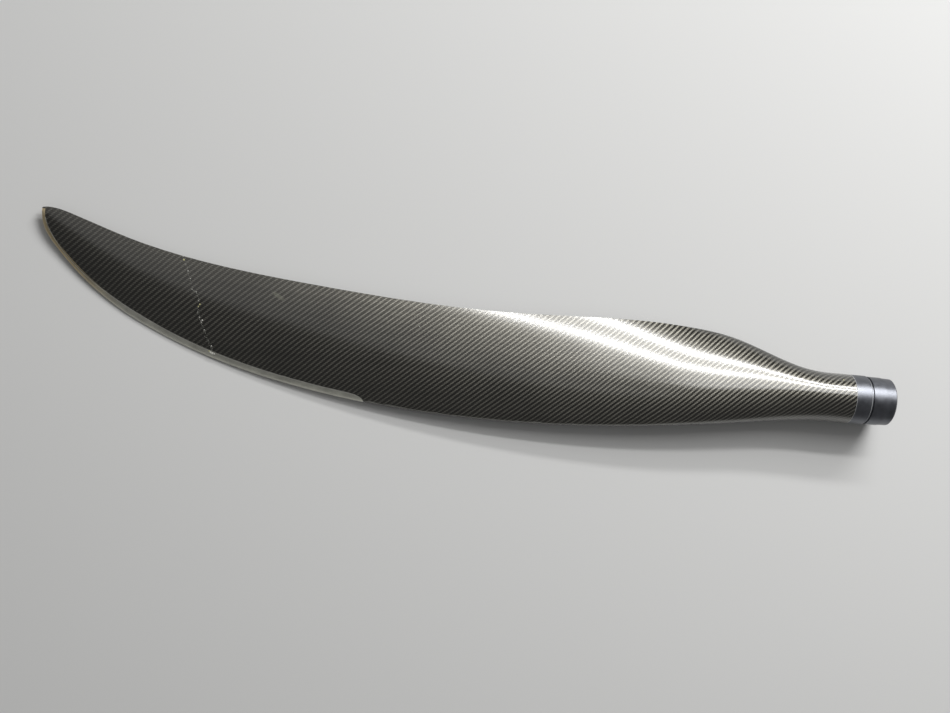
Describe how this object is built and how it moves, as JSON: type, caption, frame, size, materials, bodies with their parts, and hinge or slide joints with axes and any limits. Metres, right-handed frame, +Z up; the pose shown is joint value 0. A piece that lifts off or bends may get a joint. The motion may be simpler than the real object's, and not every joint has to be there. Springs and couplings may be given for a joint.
{
  "type": "propeller blade",
  "caption": "Swept propeller blade of carbon cloth with a twisted aerofoil body, a bare metal guard along its leading edge and a round turned root ferrule.",
  "frame": {"origin": "middle of the ferrule's flat butt face, on the pitch axis", "axes": "+X along the pitch axis, out of the butt face towards the hub, so the tip is towards -X; the leading edge faces -Y; +Z up from the cambered side, as the blade lies on a floor"},
  "size_m": [0.8622, 0.1673, 0.0508],
  "materials": {
    "carbon": "carbon cloth under a clear gloss resin",
    "guard": "bare sheet metal, dulled",
    "ferrule": "turned, dark anodised"
  },
  "bodies": {
    "root": {"carbon_blade": "carbon", "edge_guard": "guard", "root_ferrule": "ferrule"}
  },
  "joints": []
}
